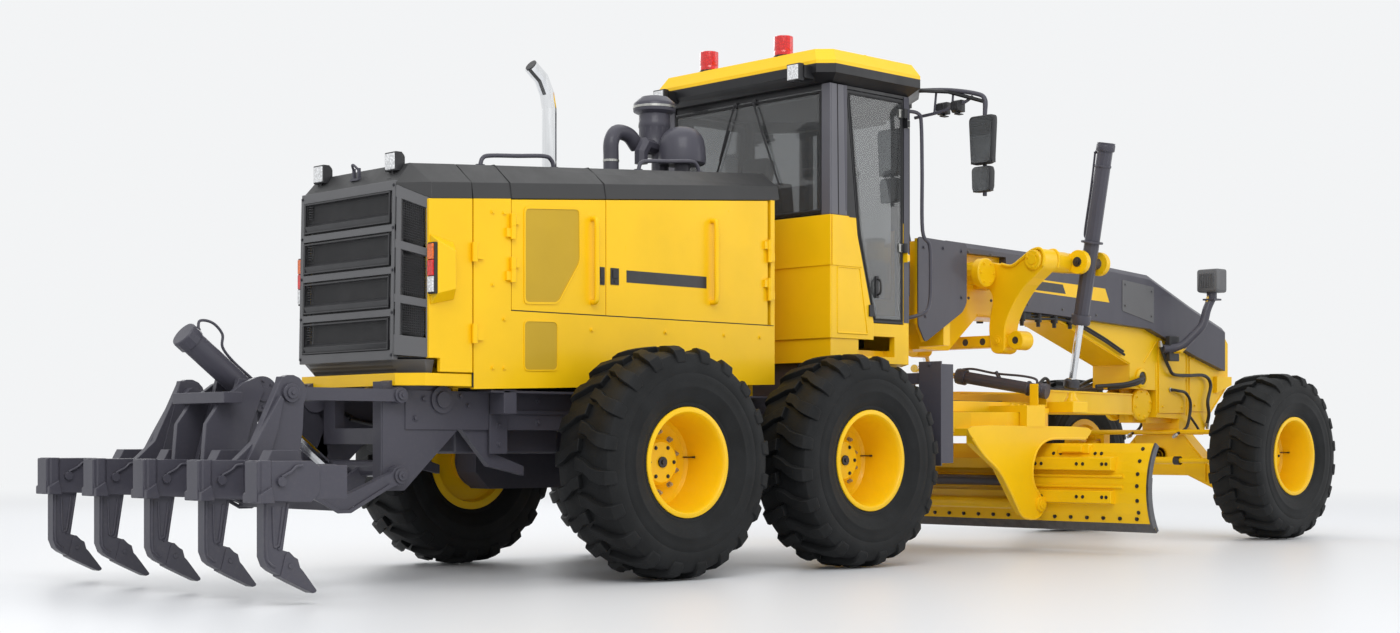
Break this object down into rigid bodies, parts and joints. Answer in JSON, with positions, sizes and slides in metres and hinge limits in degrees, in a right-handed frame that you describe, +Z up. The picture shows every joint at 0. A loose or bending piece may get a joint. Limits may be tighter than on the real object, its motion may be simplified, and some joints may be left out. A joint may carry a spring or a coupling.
{
  "type": "motor grader",
  "caption": "Articulated motor grader with tandem drive wheels, leaning front wheels, circle-mounted blade, enclosed cab, rear engine hood and rear ripper.",
  "frame": {"origin": "on the ground, under the middle of the overall length and width", "axes": "+X forward to the nose, +Y to the machine's left, +Z up"},
  "size_m": [11.315, 3.66, 3.84],
  "materials": {
    "yellow": "satin",
    "charcoal": "satin",
    "grey": "satin",
    "tyre": "matte",
    "chrome": "polished",
    "glass": "clear, grey tint",
    "engine": "matte",
    "trim": "matte"
  },
  "bodies": {
    "chassis": {"rear_frame": "charcoal", "rear_axle": "charcoal", "engine": "engine", "hood_body": "yellow", "hood_top": "grey", "exhaust_stack": "chrome", "air_precleaner": "trim", "cab_body": "yellow", "rear_window": "glass", "windshield": "glass", "cab_interior": "trim", "cab_roof": "yellow"},
    "middle_left": {"tyre_middle_left": "tyre", "rim_middle_left": "yellow"},
    "middle_right": {"tyre_middle_right": "tyre", "rim_middle_right": "yellow"},
    "rear_left": {"tyre_rear_left": "tyre", "rim_rear_left": "yellow"},
    "rear_right": {"tyre_rear_right": "tyre", "rim_rear_right": "yellow"},
    "hood_door_left_rear": {"hood_door_left_rear": "yellow"},
    "hood_door_left_front": {"hood_door_left_front": "yellow"},
    "hood_door_right_rear": {"hood_door_right_rear": "yellow"},
    "hood_door_right_front": {"hood_door_right_front": "yellow"},
    "rear_door": {"rear_door": "yellow"},
    "cab_door_left": {"cab_door_left": "trim", "door_glass_left": "glass"},
    "cab_door_right": {"cab_door_right": "trim", "door_glass_right": "glass"},
    "ripper_lower_link": {"ripper_lower_link": "charcoal"},
    "ripper_upper_link": {"ripper_upper_link": "charcoal"},
    "ripper_beam": {"ripper_beam": "charcoal"},
    "ripper_barrel": {"ripper_barrel": "charcoal"},
    "ripper_rod": {"ripper_rod": "chrome"},
    "front_frame": {"front_frame": "yellow", "frame_cover": "charcoal", "front_axle": "yellow"},
    "drawbar_ball": {"drawbar_ball": "charcoal"},
    "drawbar": {"drawbar": "yellow"},
    "lift_left_barrel": {"lift_left_barrel": "charcoal"},
    "lift_left_rod": {"lift_left_rod": "chrome"},
    "lift_right_barrel": {"lift_right_barrel": "charcoal"},
    "lift_right_rod": {"lift_right_rod": "chrome"},
    "shift_yoke": {"shift_yoke": "charcoal"},
    "shift_barrel": {"shift_barrel": "charcoal"},
    "shift_rod": {"shift_rod": "chrome"},
    "circle": {"circle": "yellow"},
    "blade_carrier": {"blade_carrier": "yellow"},
    "blade": {"blade": "yellow"},
    "lean_left": {"lean_left": "yellow"},
    "knuckle_left": {"knuckle_left": "yellow"},
    "front_left": {"tyre_front_left": "tyre", "rim_front_left": "yellow"},
    "lean_right": {"lean_right": "yellow"},
    "knuckle_right": {"knuckle_right": "yellow"},
    "front_right": {"tyre_front_right": "tyre", "rim_front_right": "yellow"},
    "lean_bar": {"lean_bar": "yellow"},
    "tie_rod_end": {"tie_rod_end": "charcoal"},
    "tie_rod": {"tie_rod": "yellow"}
  },
  "joints": [
    {"name": "wheel_middle_left_spin", "type": "hinge", "parent": "chassis", "child": "middle_left", "pos_m": [-0.8575, 1.13, 0.745], "axis": [0, 1, 0], "continuous": true},
    {"name": "wheel_middle_right_spin", "type": "hinge", "parent": "chassis", "child": "middle_right", "pos_m": [-0.8575, -1.13, 0.745], "axis": [0, 1, 0], "continuous": true},
    {"name": "wheel_rear_left_spin", "type": "hinge", "parent": "chassis", "child": "rear_left", "pos_m": [-2.5975, 1.13, 0.745], "axis": [0, 1, 0], "continuous": true},
    {"name": "wheel_rear_right_spin", "type": "hinge", "parent": "chassis", "child": "rear_right", "pos_m": [-2.5975, -1.13, 0.745], "axis": [0, 1, 0], "continuous": true},
    {"name": "hood_door_left_rear_open", "type": "hinge", "parent": "chassis", "child": "hood_door_left_rear", "pos_m": [-3.4855, 0.7, 2], "axis": [0, 0, 1], "range_deg": [0, 95]},
    {"name": "hood_door_left_front_open", "type": "hinge", "parent": "chassis", "child": "hood_door_left_front", "pos_m": [-1.1945, 0.7, 2], "axis": [0, 0, -1], "range_deg": [0, 95]},
    {"name": "hood_door_right_rear_open", "type": "hinge", "parent": "chassis", "child": "hood_door_right_rear", "pos_m": [-3.4855, -0.7, 2], "axis": [0, 0, -1], "range_deg": [0, 95]},
    {"name": "hood_door_right_front_open", "type": "hinge", "parent": "chassis", "child": "hood_door_right_front", "pos_m": [-1.1945, -0.7, 2], "axis": [0, 0, 1], "range_deg": [0, 95]},
    {"name": "rear_door_open", "type": "hinge", "parent": "chassis", "child": "rear_door", "pos_m": [-3.7835, -0.7, 1.85], "axis": [0, 0, 1], "range_deg": [0, 90]},
    {"name": "cab_door_left_open", "type": "hinge", "parent": "chassis", "child": "cab_door_left", "pos_m": [0.0715, 0.87, 2.5], "axis": [0, 0, -1], "range_deg": [0, 80]},
    {"name": "cab_door_right_open", "type": "hinge", "parent": "chassis", "child": "cab_door_right", "pos_m": [0.0715, -0.87, 2.5], "axis": [0, 0, 1], "range_deg": [0, 80]},
    {"name": "ripper_lift", "type": "hinge", "parent": "chassis", "child": "ripper_lower_link", "pos_m": [-4.2275, 0, 0.67], "axis": [0, -1, 0], "range_deg": [-38, 14]},
    {"name": "ripper_upper_turn", "type": "hinge", "parent": "chassis", "child": "ripper_upper_link", "pos_m": [-4.2275, 0, 1.156], "axis": [0, -1, 0], "range_deg": [-38, 14]},
    {"name": "ripper_beam_level", "type": "hinge", "parent": "ripper_lower_link", "child": "ripper_beam", "pos_m": [-5.0275, 0, 0.67], "axis": [0, 1, 0], "range_deg": [-38, 14]},
    {"name": "ripper_barrel_swing", "type": "hinge", "parent": "ripper_beam", "child": "ripper_barrel", "pos_m": [-4.9375, 0, 1.16], "axis": [0, -1, 0], "range_deg": [-25.92, 9.87]},
    {"name": "ripper_rod_slide", "type": "slide", "parent": "ripper_barrel", "child": "ripper_rod", "axis": [0.782, 0, -0.6233], "range_m": [-0.11448, 0.30217]},
    {"name": "articulation", "type": "hinge", "parent": "chassis", "child": "front_frame", "pos_m": [0.7225, 0, 1.6], "axis": [0, 0, 1], "range_deg": [-25, 25]},
    {"name": "drawbar_swing", "type": "hinge", "parent": "front_frame", "child": "drawbar_ball", "pos_m": [4.2525, 0, 1.22], "axis": [0, 0, 1], "range_deg": [-8.8, 8.8]},
    {"name": "drawbar_lift", "type": "hinge", "parent": "drawbar_ball", "child": "drawbar", "pos_m": [4.2525, 0, 1.22], "axis": [0, -1, 0], "range_deg": [-6.5, 17]},
    {"name": "lift_left_barrel_swing", "type": "hinge", "parent": "front_frame", "child": "lift_left_barrel", "pos_m": [2.2925, 0.95, 2.34], "axis": [1, 0, 0], "range_deg": [-16.72, 16.72]},
    {"name": "lift_left_rod_slide", "type": "slide", "parent": "lift_left_barrel", "child": "lift_left_rod", "axis": [0.04, -0.1998, -0.979], "range_m": [-0.21942, 0.5658]},
    {"name": "lift_right_barrel_swing", "type": "hinge", "parent": "front_frame", "child": "lift_right_barrel", "pos_m": [2.2925, -0.95, 2.34], "axis": [1, 0, 0], "range_deg": [-16.72, 16.72]},
    {"name": "lift_right_rod_slide", "type": "slide", "parent": "lift_right_barrel", "child": "lift_right_rod", "axis": [0.04, 0.1998, -0.979], "range_m": [-0.21942, 0.5658]},
    {"name": "shift_yoke_turn", "type": "hinge", "parent": "drawbar", "child": "shift_yoke", "pos_m": [2.0525, -0.62, 1.3], "axis": [0, 0, 1], "range_deg": [-9.2, 9.2]},
    {"name": "shift_barrel_tilt", "type": "hinge", "parent": "shift_yoke", "child": "shift_barrel", "pos_m": [2.0525, -0.62, 1.3], "axis": [0.968, 0.251, 0], "range_deg": [-12.77, 32.6]},
    {"name": "shift_rod_slide", "type": "slide", "parent": "shift_barrel", "child": "shift_rod", "axis": [-0.247, 0.9528, 0.1764], "range_m": [-0.34928, 0.34928]},
    {"name": "circle_turn", "type": "hinge", "parent": "drawbar", "child": "circle", "pos_m": [1.6725, 0, 1.03], "axis": [0, 0, 1], "continuous": true},
    {"name": "blade_pitch", "type": "hinge", "parent": "circle", "child": "blade_carrier", "pos_m": [1.7325, 0, 0.375], "axis": [0, 1, 0], "range_deg": [-5, 40]},
    {"name": "blade_side_shift", "type": "slide", "parent": "blade_carrier", "child": "blade", "axis": [0, 1, 0], "range_m": [-0.5, 0.5]},
    {"name": "wheel_lean_left", "type": "hinge", "parent": "front_frame", "child": "lean_left", "pos_m": [4.8725, 0.8, 0.5], "axis": [1, 0, 0], "range_deg": [-17, 17]},
    {"name": "steer_left", "type": "hinge", "parent": "lean_left", "child": "knuckle_left", "pos_m": [4.8725, 0.8, 0.745], "axis": [0, 0, 1], "range_deg": [-45, 45]},
    {"name": "wheel_front_left_spin", "type": "hinge", "parent": "knuckle_left", "child": "front_left", "pos_m": [4.8725, 1.13, 0.745], "axis": [0, 1, 0], "continuous": true},
    {"name": "wheel_lean_right", "type": "hinge", "parent": "front_frame", "child": "lean_right", "pos_m": [4.8725, -0.8, 0.5], "axis": [1, 0, 0], "range_deg": [-17, 17]},
    {"name": "steer_right", "type": "hinge", "parent": "lean_right", "child": "knuckle_right", "pos_m": [4.8725, -0.8, 0.745], "axis": [0, 0, 1], "range_deg": [-45, 45]},
    {"name": "wheel_front_right_spin", "type": "hinge", "parent": "knuckle_right", "child": "front_right", "pos_m": [4.8725, -1.13, 0.745], "axis": [0, 1, 0], "continuous": true},
    {"name": "lean_bar_turn", "type": "hinge", "parent": "lean_left", "child": "lean_bar", "pos_m": [4.7425, 0.8, 0.965], "axis": [1, 0, 0], "range_deg": [-17, 17]},
    {"name": "tie_rod_end_turn", "type": "hinge", "parent": "knuckle_left", "child": "tie_rod_end", "pos_m": [4.5925, 0.8, 0.7], "axis": [0, 0, 1], "range_deg": [-45, 45]},
    {"name": "tie_rod_level", "type": "hinge", "parent": "tie_rod_end", "child": "tie_rod", "pos_m": [4.5925, 0.8, 0.7], "axis": [1, 0, 0], "range_deg": [-17, 17]}
  ],
  "couplings": [
    {"joint": "ripper_upper_turn", "follows": "ripper_lift", "ratio": 1},
    {"joint": "ripper_beam_level", "follows": "ripper_lift", "ratio": 1},
    {"joint": "ripper_barrel_swing", "follows": "ripper_lift", "ratio": 0.66897},
    {"joint": "ripper_rod_slide", "follows": "ripper_lift", "m_per_rad": -0.44807},
    {"joint": "lift_left_barrel_swing", "follows": "drawbar_swing", "ratio": -1.843},
    {"joint": "lift_left_rod_slide", "follows": "drawbar_lift", "m_per_rad": 1.8901},
    {"joint": "lift_right_barrel_swing", "follows": "drawbar_swing", "ratio": -1.843},
    {"joint": "lift_right_rod_slide", "follows": "drawbar_lift", "m_per_rad": 1.8901},
    {"joint": "shift_yoke_turn", "follows": "drawbar_swing", "ratio": -0.98918},
    {"joint": "shift_barrel_tilt", "follows": "drawbar_lift", "ratio": 1.888},
    {"joint": "shift_rod_slide", "follows": "drawbar_swing", "m_per_rad": 2.2416},
    {"joint": "wheel_lean_right", "follows": "wheel_lean_left", "ratio": 1},
    {"joint": "steer_right", "follows": "steer_left", "ratio": 1},
    {"joint": "lean_bar_turn", "follows": "wheel_lean_left", "ratio": -1},
    {"joint": "tie_rod_end_turn", "follows": "steer_left", "ratio": -1},
    {"joint": "tie_rod_level", "follows": "wheel_lean_left", "ratio": -1}
  ]
}
